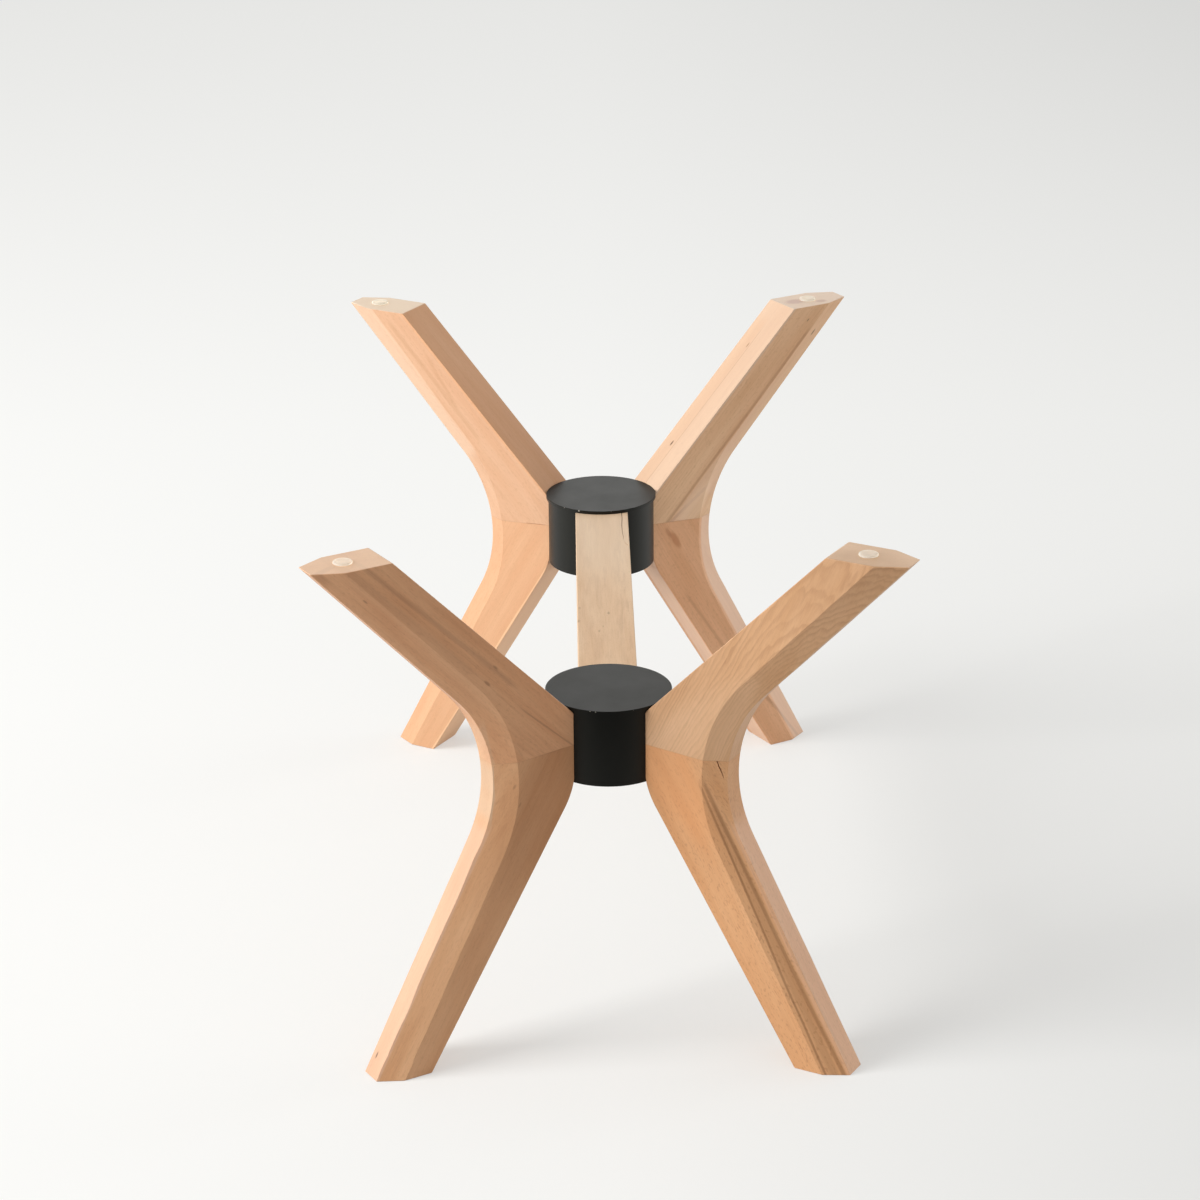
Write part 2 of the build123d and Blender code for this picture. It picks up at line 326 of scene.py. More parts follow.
def sanded(node, to_round=None, radius=0.9 * MM, wobble=0.5 * MM, slits=()):
    """A copy of a wooden node, smoothly shaded, with its splits cut and the chosen edges, which wander a
    little from the maker's hand, rubbed round."""
    same_place, flat, corner = 0.001 * MM, math.radians(0.3), math.radians(15)
    cut_step, wobble_length = 10 * MM, 22 * MM
    bm = bmesh.new()
    bm.from_mesh(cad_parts[node].data)
    bmesh.ops.remove_doubles(bm, verts=bm.verts, dist=same_place)
    bmesh.ops.dissolve_limit(bm, angle_limit=flat, verts=bm.verts, edges=bm.edges)
    if to_round:
        chosen = [edge for edge in bm.edges if edge.calc_face_angle(0.0) > corner and to_round(edge)]
        rubbed = set(chosen)
        for edge in chosen:
            aside = (edge.verts[1].co - edge.verts[0].co).cross(edge.link_faces[0].normal).normalized()
            cuts = int(edge.calc_length() / cut_step)
            pieces = bmesh.ops.bisect_edges(bm, edges=[edge], cuts=cuts)
            for piece in pieces["geom_split"]:
                if isinstance(piece, bmesh.types.BMVert):
                    piece.co += aside * wobble * noise.noise(piece.co / wobble_length)
                else:
                    rubbed.add(piece)
        bmesh.ops.bevel(bm, geom=list(rubbed), offset=radius, offset_type="OFFSET", segments=3,
                        profile=0.5, affect="EDGES", clamp_overlap=True)
    mesh = bpy.data.meshes.new(node)
    bm.to_mesh(mesh)
    for wedge in slits:
        cutter = bpy.data.objects.new("cutter", wedge)
        bpy.context.scene.collection.objects.link(cutter)
        mesh = applied(mesh, "BOOLEAN", object=cutter, operation="DIFFERENCE", solver="EXACT")
        bpy.data.objects.remove(cutter)
    bm.clear()
    bm.from_mesh(mesh)
    shade_smooth(bm, crease=50)
    bm.to_mesh(mesh)
    bm.free()
    mesh = applied(mesh, "WEIGHTED_NORMAL", keep_sharp=True)
    mesh.name = node
    mesh.materials.clear()
    return mesh


def drawn_out(tree, at, length, width, offset, detail, roughness=0.5):
    """A noise drawn out along the grain, whose cells have a real length and width in mm."""
    cells = add_node(tree, "ShaderNodeMapping", {
        "Vector": at, "Location": offset, "Scale": (1 / length, 1 / width, 1 / width)})
    return add_node(tree, "ShaderNodeTexNoise", {
        "Vector": cells.outputs["Vector"], "Scale": 1.0, "Detail": detail, "Roughness": roughness})


def streaked_and_painted_light(tree, colour, at, run, streaks_and_painted_light):
    """Heartwood streaks, and bands of painted light on single faces: soft-edged sheets through a board,
    each of which fades in and out along it.
    """
    fade_length = 14.0
    for turn, offset, slope, half_width, soft, depth, start, end, shade in streaks_and_painted_light:
        normal = (-slope, math.cos(math.radians(turn)), math.sin(math.radians(turn)))
        level = add_node(tree, "ShaderNodeVectorMath", {0: at, 1: normal}, operation="DOT_PRODUCT")
        away = add_node(tree, "ShaderNodeMath", {
            0: level.outputs["Value"], 1: offset}, operation="SUBTRACT")
        away = add_node(tree, "ShaderNodeMath", {0: away.outputs[0]}, operation="ABSOLUTE")
        inside = add_node(tree, "ShaderNodeMapRange", {
            "Value": away.outputs[0], "From Min": half_width, "From Max": half_width + soft,
            "To Min": depth, "To Max": 0.0}, interpolation_type="SMOOTHSTEP")
        begun = add_node(tree, "ShaderNodeMapRange", {
            "Value": run, "From Min": start, "From Max": start + fade_length},
            interpolation_type="SMOOTHSTEP")
        over = add_node(tree, "ShaderNodeMapRange", {
            "Value": run, "From Min": end, "From Max": end + fade_length, "To Min": 1.0, "To Max": 0.0},
            interpolation_type="SMOOTHSTEP")
        stretch = add_node(tree, "ShaderNodeMath", {
            0: begun.outputs[0], 1: over.outputs[0]}, operation="MULTIPLY")
        share = add_node(tree, "ShaderNodeMath", {
            0: inside.outputs[0], 1: stretch.outputs[0]}, operation="MULTIPLY")
        colour = add_node(tree, "ShaderNodeMix", {
            "Factor": share.outputs[0], 6: colour, 7: linear(shade)}, data_type="RGBA").outputs[2]
    return colour


def spotted_and_painted_light(tree, colour, at, spots):
    """Knots and stains, and spots of painted light and shade: soft spots in a board, three times as long as
    they are wide.
    """
    squeeze, core = (0.33, 1.0, 1.0), 0.4
    for middle, size, depth, shade in spots:
        near = add_node(tree, "ShaderNodeVectorMath", {0: at, 1: middle}, operation="SUBTRACT")
        near = add_node(tree, "ShaderNodeVectorMath", {
            0: near.outputs[0], 1: squeeze}, operation="MULTIPLY")
        away = add_node(tree, "ShaderNodeVectorMath", {0: near.outputs[0]}, operation="LENGTH")
        inside = add_node(tree, "ShaderNodeMapRange", {
            "Value": away.outputs["Value"], "From Min": size * core, "From Max": size,
            "To Min": depth, "To Max": 0.0}, interpolation_type="SMOOTHSTEP")
        colour = add_node(tree, "ShaderNodeMix", {
            "Factor": inside.outputs[0], 6: colour, 7: linear(shade)}, data_type="RGBA").outputs[2]
    return colour


def beech(name, origin, along, across, tone, pale, late, pith, seed, ring_width=2.8, ring_depth=0.13,
          ring_break=0.35, wander=5.0, curl=0.8, lean=(0.0, 0.0), fibre_depth=0.15, fleck_depth=0.14,
          streaks_and_painted_light=(), knots_and_painted_light=(), joint=None, sawn_end=None, end_tone_and_light="#EBD3B8", end_and_light_share=0.45):
    """Planed beech: pale peach to tan, with soft growth rings about the board's pith, short darker ray
    flecks, fine fibres along the grain and slow changes of tone. Sizes are in mm along the board."""
    material, tree = new_material(name)
    place = add_node(tree, "ShaderNodeTexCoord")
    turned = Matrix((along, across, along.cross(across)))
    board = add_node(tree, "ShaderNodeMapping", {
        "Vector": place.outputs["Object"], "Location": -(turned @ origin) / MM,
        "Rotation": turned.to_euler(), "Scale": (1 / MM, 1 / MM, 1 / MM)})
    at = board.outputs["Vector"]
    run = add_node(tree, "ShaderNodeSeparateXYZ", {0: at}).outputs["X"]

    # The grain wanders slowly, curls a little, and may lean away from the line of the arm
    mean_noise = (0.5, 0.5, 0.5)
    drift = drawn_out(tree, at, length=190, width=55, offset=(seed, seed, seed), detail=2.0)
    drift = add_node(tree, "ShaderNodeVectorMath", {
        0: drift.outputs["Color"], 1: mean_noise}, operation="SUBTRACT")
    swayed = add_node(tree, "ShaderNodeVectorMath", {
        0: drift.outputs[0], 1: (0.0, wander, wander), 2: at}, operation="MULTIPLY_ADD").outputs[0]
    curls = drawn_out(tree, at, length=24, width=9, offset=(0.0, seed, 0.0), detail=1.0)
    curls = add_node(tree, "ShaderNodeVectorMath", {
        0: curls.outputs["Color"], 1: mean_noise}, operation="SUBTRACT")
    curled = add_node(tree, "ShaderNodeVectorMath", {
        0: curls.outputs[0], 1: (0.0, curl, curl), 2: swayed}, operation="MULTIPLY_ADD")
    aside = add_node(tree, "ShaderNodeCombineXYZ", {"Y": run, "Z": run})
    grain = add_node(tree, "ShaderNodeVectorMath", {
        0: aside.outputs[0], 1: (0.0, *lean), 2: curled.outputs[0]}, operation="MULTIPLY_ADD").outputs[0]

    # Growth rings about the pith: uneven, dark towards the late wood of each year, broken here and
    # there, and each a little lighter or darker than the next
    uneven_rings, late_start, late_peak, faintest_ring, break_soft = 2.2, 0.25, 0.86, 0.35, 0.25
    from_pith = add_node(tree, "ShaderNodeVectorMath", {
        0: grain, 1: (0.0, pith[0], pith[1])}, operation="SUBTRACT")
    section = add_node(tree, "ShaderNodeVectorMath", {
        0: from_pith.outputs[0], 1: (0.0, 1.0, 1.0)}, operation="MULTIPLY")
    radius = add_node(tree, "ShaderNodeVectorMath", {0: section.outputs[0]}, operation="LENGTH")
    uneven = drawn_out(tree, grain, length=90, width=8, offset=(0.0, seed, -seed), detail=2.0)
    even_rings = add_node(tree, "ShaderNodeMath", {
        0: radius.outputs["Value"], 1: ring_width}, operation="DIVIDE")
    rings = add_node(tree, "ShaderNodeMath", {
        0: uneven.outputs["Fac"], 1: uneven_rings, 2: even_rings.outputs[0]}, operation="MULTIPLY_ADD")
    year_part = add_node(tree, "ShaderNodeMath", {0: rings.outputs[0]}, operation="FRACT")
    year = add_node(tree, "ShaderNodeMath", {0: rings.outputs[0]}, operation="FLOOR")
    year_tone = add_node(tree, "ShaderNodeTexWhiteNoise", {"W": year.outputs[0]}, noise_dimensions="1D")
    rise = add_node(tree, "ShaderNodeMapRange", {
        "Value": year_part.outputs[0], "From Min": late_start, "From Max": late_peak},
        interpolation_type="SMOOTHSTEP")
    fall = add_node(tree, "ShaderNodeMapRange", {
        "Value": year_part.outputs[0], "From Min": late_peak, "From Max": 1.0, "To Min": 1.0,
        "To Max": 0.0}, interpolation_type="SMOOTHSTEP")
    late_wood = add_node(tree, "ShaderNodeMath", {
        0: rise.outputs[0], 1: fall.outputs[0]}, operation="MULTIPLY")
    ring_share = add_node(tree, "ShaderNodeMapRange", {
        "Value": year_tone.outputs["Value"], "To Min": ring_depth * faintest_ring, "To Max": ring_depth})
    ring_shade = add_node(tree, "ShaderNodeMath", {
        0: late_wood.outputs[0], 1: ring_share.outputs[0]}, operation="MULTIPLY")
    broken = drawn_out(tree, grain, length=35, width=5, offset=(seed, 0.0, seed), detail=2.0)
    ring_fade = add_node(tree, "ShaderNodeMapRange", {
        "Value": broken.outputs["Fac"], "From Min": ring_break, "From Max": ring_break + break_soft},
        interpolation_type="SMOOTHSTEP")
    ring_shade = add_node(tree, "ShaderNodeMath", {
        0: ring_shade.outputs[0], 1: ring_fade.outputs[0]}, operation="MULTIPLY")

    # Ray flecks: thin sheets that lead out from the pith, real ones 0.3 mm wide and drawn twice that
    fleck_length, fleck_width, fleck_reach = 3.2, 0.65, 7.0
    pith_parts = add_node(tree, "ShaderNodeSeparateXYZ", {0: from_pith.outputs[0]})
    angle = add_node(tree, "ShaderNodeMath", {
        0: pith_parts.outputs["Y"], 1: pith_parts.outputs["Z"]}, operation="ARCTAN2")
    fleck_at = add_node(tree, "ShaderNodeCombineXYZ", {
        "X": run, "Y": angle.outputs[0], "Z": radius.outputs["Value"]})
    fleck_place = add_node(tree, "ShaderNodeMapping", {
        "Vector": fleck_at.outputs[0], "Location": (seed, 0.0, 0.0),
        "Scale": (1 / fleck_length, math.hypot(*pith) / fleck_width, 1 / fleck_reach)})
    fleck_field = add_node(tree, "ShaderNodeTexNoise", {
        "Vector": fleck_place.outputs["Vector"], "Scale": 1.0, "Detail": 1.0})
    flecks = add_node(tree, "ShaderNodeMapRange", {
        "Value": fleck_field.outputs["Fac"], "From Min": 0.56, "From Max": 0.70, "To Max": fleck_depth},
        interpolation_type="SMOOTHSTEP")

    # Slow changes of tone, and fibres along the grain, drawn far coarser than real ones so that they show
    tones = drawn_out(tree, grain, length=140, width=16, offset=(-seed, seed, 0.0), detail=3.0)
    tone_share = add_node(tree, "ShaderNodeMapRange", {
        "Value": tones.outputs["Fac"], "From Min": 0.3, "From Max": 0.7})
    colour = add_node(tree, "ShaderNodeMix", {
        "Factor": tone_share.outputs[0], 6: linear(tone), 7: linear(pale)}, data_type="RGBA").outputs[2]
    fibres = drawn_out(
        tree, grain, length=28, width=0.9, offset=(0.0, 0.0, 0.0), detail=3.0, roughness=0.6)
    fibre_share = add_node(tree, "ShaderNodeMapRange", {
        "Value": fibres.outputs["Fac"], "From Min": 0.40, "From Max": 0.75, "To Max": fibre_depth})
    dark_share = add_node(tree, "ShaderNodeMath", {
        0: ring_shade.outputs[0], 1: fibre_share.outputs[0]}, operation="ADD")
    dark_share = add_node(tree, "ShaderNodeMath", {
        0: dark_share.outputs[0], 1: flecks.outputs[0]}, operation="ADD", use_clamp=True)
    colour = add_node(tree, "ShaderNodeMix", {
        "Factor": dark_share.outputs[0], 6: colour, 7: linear(late)}, data_type="RGBA").outputs[2]

    # Heartwood streaks and bands of painted light on single faces, the paler sawn end with painted light on
    # it, knots and stains and spots of painted light and shade, and the glue line
    colour = streaked_and_painted_light(tree, colour, swayed, run, streaks_and_painted_light)
    # The sawn top end is paler: partly its own end grain, partly painted light on the up-facing top
    if sawn_end:
        end_depth = 0.5 * MM
        heights = add_node(tree, "ShaderNodeSeparateXYZ", {0: place.outputs["Object"]})
        sawn = add_node(tree, "ShaderNodeMapRange", {
            "Value": heights.outputs["Z"], "From Min": sawn_end - end_depth, "From Max": sawn_end,
            "To Max": end_and_light_share})
        colour = add_node(tree, "ShaderNodeMix", {
            "Factor": sawn.outputs[0], 6: colour, 7: linear(end_tone_and_light)}, data_type="RGBA").outputs[2]
    colour = spotted_and_painted_light(tree, colour, swayed, knots_and_painted_light)
    if joint:
        glue_point, glue_normal = joint
        glue_line, glue_soak, glue_share = 0.1 * MM, 0.7 * MM, 0.09
        level = add_node(tree, "ShaderNodeVectorMath", {
            0: place.outputs["Object"], 1: glue_normal}, operation="DOT_PRODUCT")
        away = add_node(tree, "ShaderNodeMath", {
            0: level.outputs["Value"], 1: glue_point.dot(glue_normal)}, operation="SUBTRACT")
        away = add_node(tree, "ShaderNodeMath", {0: away.outputs[0]}, operation="ABSOLUTE")
        glue = add_node(tree, "ShaderNodeMapRange", {
            "Value": away.outputs[0], "From Min": glue_line, "From Max": glue_soak,
            "To Min": glue_share, "To Max": 0.0})
        colour = add_node(tree, "ShaderNodeMix", {
            "Factor": glue.outputs[0], 6: colour, 7: linear("#8A5E3C")}, data_type="RGBA").outputs[2]

    roughness = add_node(tree, "ShaderNodeMapRange", {
        "Value": fibres.outputs["Fac"], "To Min": 0.46, "To Max": 0.66})
    bump = add_node(tree, "ShaderNodeBump", {
        "Height": dark_share.outputs[0], "Strength": 0.10, "Distance": 0.15 * MM}, invert=True)
    shader = add_node(tree, "ShaderNodeBsdfPrincipled", {
        "Base Color": colour, "Roughness": roughness.outputs[0], "Normal": bump.outputs["Normal"],
        "Coat Weight": 0.12, "Coat Roughness": 0.40})
    add_node(tree, "ShaderNodeOutputMaterial", {"Surface": shader.outputs["BSDF"]})
    return material


# A streak, or a band of painted light on one face, has a turn about the board, offset, slope along it, half
# width, soft edge, strength, start, end and shade. A knot, stain or spot of painted light and shade has a
# place, size, strength and shade. Lengths are in mm, from the knee.
boards = {
    "front_left_upper": dict(
        tone="#D2976A", pale="#E1AC80", late="#925D3A", pith=(40.0, -70.0), seed=3.1,
        end_tone_and_light="#EFD4B8", end_and_light_share=0.5,
        streaks_and_painted_light=[(90, -21.5, 0.033, 0.5, 2.4, 0.24, 55, 215, "#7C5236"),
                 (90, -13.3, 0.068, 0.15, 0.9, 0.32, -25, 35, "#6E4528"),
                 (90, -9.0, 0.02, 1.2, 3.0, 0.12, 90, 230, "#8A5C3C"),
                 (90, -4.0, 0.0, 2.5, 4.0, 0.20, 60, 220, "#D9A880"),
                 (35, -3.6, 0.0, 1.2, 2.4, 0.55, 225, 260, "#B57F56"),
                 # The pale band on the outer face by the knee is painted sheen
                 (90, 49.7, -0.577, 2.0, 1.2, 0.20, -10, 50, "#CBB59B")],
        knots_and_painted_light=[((81.3, -18.5, -8.1), 1.6, 0.50, "#7A4A28"), ((202.3, -15.1, 2.7), 1.2, 0.45, "#6A4428"),
               ((84.4, -18.5, -20.4), 1.2, 0.40, "#6A4428")]),
    "front_left_lower": dict(
        tone="#D39B6D", pale="#DFAD81", late="#9A663F", pith=(55.0, 40.0), seed=7.7,
        # The three pale bands follow the lit outer face along the arm and round the knee: painted sheen
        streaks_and_painted_light=[(90, -19.0, 0.0305, 3.4, 1.2, 0.30, 62, 300, "#DDBFAE"),
                 (90, -50.9, 0.60, 2.0, 1.2, 0.50, 18, 40, "#CBB59B"),
                 (90, -40.2, 0.36, 2.0, 1.2, 0.50, 40, 58, "#CBB59B")],
        knots_and_painted_light=[((32.7, -17.0, -14.4), 1.2, 0.35, "#7A5030"), ((43.5, -18.5, -4.6), 1.0, 0.35, "#7A5030"),
               # The last, broad spot darkens the flank next to the hub: painted shade
               ((256.0, 3.7, -8.8), 1.2, 0.70, "#4A3020"), ((10.0, -18.5, 20.0), 46.0, 0.38, "#9A5A1E")]),
    "front_right_upper": dict(
        tone="#CD9C6F", pale="#DAAC82", late="#95633A", pith=(-25.0, 60.0), seed=1.9, ring_width=2.0,
        ring_depth=0.31, ring_break=0.18, lean=(0.12, 0.36), wander=8.0, curl=2.4, fleck_depth=0.08,
        # The dark spot towards the top is painted shade, and the pale one by the knee is painted light
        knots_and_painted_light=[((225.0, 18.5, -10.0), 34.0, 0.22, "#9C6C42"), ((5.0, 18.5, 5.0), 34.0, 0.22, "#F6D2AE")]),
    "front_right_lower": dict(
        tone="#D29866", pale="#DCA879", late="#895429", pith=(-60.0, -50.0), seed=5.3, ring_depth=0.06,
        wander=5.5, fleck_depth=0.26,
        streaks_and_painted_light=[(59.3, -2.2, 0.037, 1.8, 3.0, 0.34, 40, 300, "#9A6C42"),
                 (59.3, -1.2, 0.056, 0.3, 1.1, 0.52, 24, 300, "#744820"),
                 (59.3, -3.2, 0.018, 0.5, 1.8, 0.48, 24, 300, "#774B25"),
                 (59.3, -7.0, 0.010, 0.3, 0.9, 0.22, 50, 250, "#8A5C38"),
                 # The pale band on the outer face is painted sheen
                 (90, -19.0, 0.0305, 3.4, 1.2, 0.34, 62, 300, "#E9BB9C")],
        knots_and_painted_light=[((10.0, 18.5, 8.0), 28.0, 0.45, "#E8A066")]),
    "rear_left_upper": dict(
        tone="#DAA882", pale="#E1B591", late="#A57149", pith=(60.0, 70.0), seed=9.4, ring_depth=0.10,
        fibre_depth=0.10, end_tone_and_light="#F3E1C8", end_and_light_share=0.75,
        streaks_and_painted_light=[(90, -13.0, 0.0, 0.6, 2.5, 0.28, 75, 200, "#B98256"),
                 (90, 2.3, -0.15, 0.5, 2.0, 0.22, 110, 160, "#B98256"),
                 # The pale band on the chamfer that faces down to the floor is painted bounce light
                 (149.3, 18.6, -0.0083, 3.6, 0.8, 0.36, 70, 260, "#F6D8BC"),
                 # The warm band on the shaded inner face is painted warm bounce light
                 (90, -35.3, 0.017, 3.6, 1.2, 0.30, -20, 260, "#E8A468")]),
    "rear_left_lower": dict(
        tone="#DDA67C", pale="#E4B389", late="#AA744A", pith=(-70.0, 40.0), seed=2.2, ring_depth=0.10,
        # The pale band on the shaded inner face is painted bounce light from the floor
        fibre_depth=0.10, streaks_and_painted_light=[(90, 37.0, -0.03, 3.3, 1.2, 0.60, 10, 300, "#FFD2A6")]),
    "rear_right_upper": dict(
        tone="#E2B185", pale="#EEC399", late="#AA734B", pith=(50.0, 55.0), seed=6.6, wander=2.4,
        fibre_depth=0.12, end_tone_and_light="#EAD7C4", end_and_light_share=0.75,
        streaks_and_painted_light=[(90, -4.2, 0.0, 0.4, 1.8, 0.36, -30, 195, "#96532F"),
                 (90, -1.0, 0.19, 0.5, 1.8, 0.34, -30, 34, "#9C5A36"),
                 # The pale band on the chamfer that faces down to the floor is painted bounce light
                 (30.7, 17.8, 0.0, 2.2, 1.2, 0.28, -40, 260, "#F2CDB4"),
                 # The pale band on the lit inner face is painted sheen
                 (90, -35.3, 0.017, 3.6, 1.2, 0.50, -20, 260, "#D9C2AF"),
                 (0, -11.0, 0.0, 8.0, 1.2, 0.16, -40, 180, "#DBA472"),
                 (0, -2.3, 0.005, 0.2, 0.5, 0.30, -40, 170, "#A5713F")],
        knots_and_painted_light=[((207.7, 18.5, -11.1), 0.8, 0.6, "#6A4428"), ((204.0, 14.5, 3.7), 1.5, 0.75, "#5A381C"),
               ((54.0, -6.4, -31.7), 1.2, 0.9, "#5A3820"), ((160.7, -3.9, -30.3), 1.2, 0.5, "#8A5836"),
               ((216.0, 0.0, -19.5), 9.0, 0.45, "#B98C84"), ((230.0, 10.0, -5.5), 5.0, 0.42, "#B48578"),
               ((22.0, 18.5, 9.0), 12.0, 0.40, "#FFDDBB")]),
    "rear_right_lower": dict(
        tone="#E4A97B", pale="#F0BA8E", late="#AA714A", pith=(45.0, -65.0), seed=8.8, wander=2.4,
        streaks_and_painted_light=[(90, 29.0, -0.087, 0.4, 1.6, 0.26, 60, 140, "#A06A44"),
                 (59.3, 49.7, -0.163, 0.5, 2.0, 0.36, 195, 262, "#8A5230"),
                 # The wide pale band on the chamfers, outer and inner faces between the flanks is painted
                 # sheen and bounce light
                 (0, 2.5, 0.0, 13.5, 1.5, 0.40, -60, 300, "#F3DCC8")],
        knots_and_painted_light=[((16.0, 18.5, 6.2), 4.2, 0.65, "#BC7644"), ((6.0, 18.5, 8.5), 2.4, 0.40, "#A8653A")]),
}
# The front left leg's edges are rubbed rounder than the rest, and at the front right knee the mitre has
# opened a little at its outer corner
knee_split = slit([
    (Vector((75.9, -274.6, 230.5)), 0.55, 3.0), (Vector((77.5, -274.5, 225.0)), 0.50, 3.0),
    (Vector((80.0, -274.3, 219.0)), 0.40, 2.4), (Vector((81.8, -274.2, 213.5)), 0.15, 0.8)],
    inward=Vector((0.0, 1.0, 0.0)))
hand_work = {
    "front_left_upper": dict(radius=3.0 * MM),
    "front_left_lower": dict(radius=2.2 * MM, wobble=1.1 * MM),
    "front_right_lower": dict(slits=[knee_split]),
}
for board, look in boards.items():
    leg, half = board.rsplit("_", 1)
    axis_foot, out, across = leg_frame(leg)
    slope = math.radians(arm_slopes[half])
    knee = axis_foot + out * knee_reach + up * knee_height
    mitre_run = out * (knee_outer[0] - knee_inner[0]) + up * (knee_outer[1] - knee_inner[1])
    mitre_point = axis_foot + out * knee_outer[0] + up * knee_outer[1]
    mitre_normal = across.cross(mitre_run.normalized())
    wood = beech(
        f"beech_{board}", knee, out * math.cos(slope) + up * math.sin(slope), across,
        joint=(mitre_point, mitre_normal), sawn_end=leg_top if half == "upper" else None, **look)
    mesh = sanded(
        f"{board}_arm", lambda edge: rubbed_edge(edge, leg, mitre_point, mitre_normal),
        **hand_work.get(board, {}))
    mesh.materials.append(wood)
    keep_piece(f"{board}_arm_sanded", mesh, "beech", f"{board}_arm")


# Knee dowels and threaded inserts: two beech dowels hold each mitre, and cast zinc sleeves in the coped
# ends take the bolts. All of them are bought pieces, and none shows once the base is together.
def bare_metal(name, colour, smooth, rough, mottle):
    """A bare or plated metal: its own reflection colour, with a fine mottle that dulls it unevenly."""
    material, tree = new_material(name)
    place = add_node(tree, "ShaderNodeTexCoord")
    field = add_node(tree, "ShaderNodeTexNoise", {
        "Vector": place.outputs["Object"], "Scale": 1 / mottle, "Detail": 3.0})
    dulled = add_node(tree, "ShaderNodeMapRange", {
        "Value": field.outputs["Fac"], "From Min": 0.3, "From Max": 0.7, "To Min": smooth, "To Max": rough})
    shader = add_node(tree, "ShaderNodeBsdfPrincipled", {
        "Base Color": linear(colour), "Metallic": 1.0, "Roughness": dulled.outputs[0]})
    add_node(tree, "ShaderNodeOutputMaterial", {"Surface": shader.outputs["BSDF"]})
    return material


zinc_alloy = bare_metal("zinc_alloy", "#A8A59D", smooth=0.40, rough=0.55, mottle=3 * MM)
dowel_wood = beech(
    "beech_dowels", Vector((0.0, 0.0, 0.0)), up, Vector((1.0, 0.0, 0.0)),
    tone="#D9AF86", pale="#E3BF99", late="#A0734C", pith=(90.0, 90.0), seed=3.7)
for leg in leg_turns:
    dress(f"{leg}_knee_dowels", dowel_wood)
    dress(f"{leg}_inserts", zinc_alloy)
dress("stretcher_inserts", zinc_alloy)


# Stretcher: one straight bar of pale, plain-sawn beech between the hubs, hollowed at its ends to seat
# on the tubes. A drying crack has opened at its rear right corner and a splinter has left the edge.
stretcher_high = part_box("stretcher")[1]
top = stretcher_high.z / MM
down = Vector((0.0, 0.0, -1.0))
crack = slit([
    (Vector((16.6, 176.0, top)), 0.30, 9.0), (Vector((16.9, 160.0, top)), 0.28, 8.0),
    (Vector((16.2, 140.0, top)), 0.24, 6.0), (Vector((16.6, 122.0, top)), 0.20, 4.0),
    (Vector((17.3, 112.0, top)), 0.16, 2.5), (Vector((16.9, 107.0, top)), 0.08, 0.8)], inward=down)
splinter = slit([
    (Vector((17.3, 103.5, top)), 0.10, 0.5), (Vector((18.8, 98.5, top)), 0.45, 1.2),
    (Vector((20.4, 94.5, top)), 0.80, 1.8), (Vector((23.0, 90.5, top)), 0.95, 2.2)], inward=down)
stretcher_wood = beech(
    "beech_stretcher", Vector((0.0, 0.0, stretcher_high.z)),
    Vector((0.0, 1.0, 0.0)), Vector((-1.0, 0.0, 0.0)),
    tone="#D8B189", pale="#E4C39F", late="#A57955", pith=(12.0, 160.0), seed=4.4,
    ring_width=2.2, ring_depth=0.18,
    knots_and_painted_light=[((-58.2, -2.7, 0.0), 1.3, 0.45, "#7A5A3C"), ((-74.4, 20.6, 0.0), 1.4, 0.42, "#8A6646"),
           ((-95.9, 4.8, 0.0), 1.3, 0.42, "#8A6646"), ((-46.7, 19.6, 0.0), 1.3, 0.3, "#8A6646"),
           ((-86.0, 1.6, 0.0), 1.0, 0.3, "#8A6646"), ((160.0, 0.0, 0.0), 62.0, 0.35, "#EAD7BD")])
stretcher_mesh = sanded("stretcher", slits=[crack, splinter])
stretcher_mesh.materials.append(stretcher_wood)
keep_piece("stretcher_sanded", stretcher_mesh, "beech", "stretcher")


# Saddle washers and bolts: inside each hub, two zinc-plated socket-head bolts pull every member home on
# the tube. The washers are pressed to the curve of the bore so that they seat flat on it.
bolt_pitch, bolts_height, washer_thickness = 26 * MM, 231 * MM, 2 * MM
members_per_hub, bolts_per_member, loose_seed = 3, 2, 11
seat_radius = bore_radius - washer_thickness
plated_steel = bare_metal("bright_zinc_plate", "#C3C8CC", smooth=0.24, rough=0.38, mottle=4 * MM)
fastener_tree, given = new_tree("hub_fasteners", {
    "Seat radius": "Float", "First turn": "Float", "Pitch": "Float", "Middle": "Vector",
    "Loose turn": "Float", "Finish": "Material"})
members = add_node(fastener_tree, "GeometryNodeMeshCircle", {
    "Vertices": members_per_hub, "Radius": given["Seat radius"]})
lift = add_node(fastener_tree, "ShaderNodeCombineXYZ", {"Z": given["Pitch"]})
drop = add_node(fastener_tree, "ShaderNodeVectorMath", {
    0: lift.outputs[0], 1: (0.0, 0.0, (1 - bolts_per_member) / 2)}, operation="MULTIPLY")
pair = add_node(fastener_tree, "GeometryNodeMeshLine", {
    "Count": bolts_per_member, "Start Location": drop.outputs[0], "Offset": lift.outputs[0]})
spots = add_node(fastener_tree, "GeometryNodeInstanceOnPoints", {
    "Points": members.outputs[0], "Instance": pair.outputs[0]})
spots = add_node(fastener_tree, "GeometryNodeRealizeInstances", {"Geometry": spots.outputs[0]})
spot = add_node(fastener_tree, "GeometryNodeInputPosition")
outward = add_node(fastener_tree, "ShaderNodeVectorMath", {
    0: spot.outputs[0], 1: (1.0, 1.0, 0.0)}, operation="MULTIPLY")
facing = add_node(fastener_tree, "FunctionNodeAlignRotationToVector", {
    "Vector": outward.outputs[0]}, axis="X", pivot_axis="Z")
placed = add_node(fastener_tree, "GeometryNodeInstanceOnPoints", {
    "Points": spots.outputs[0], "Instance": given["Geometry"], "Rotation": facing.outputs[0]})
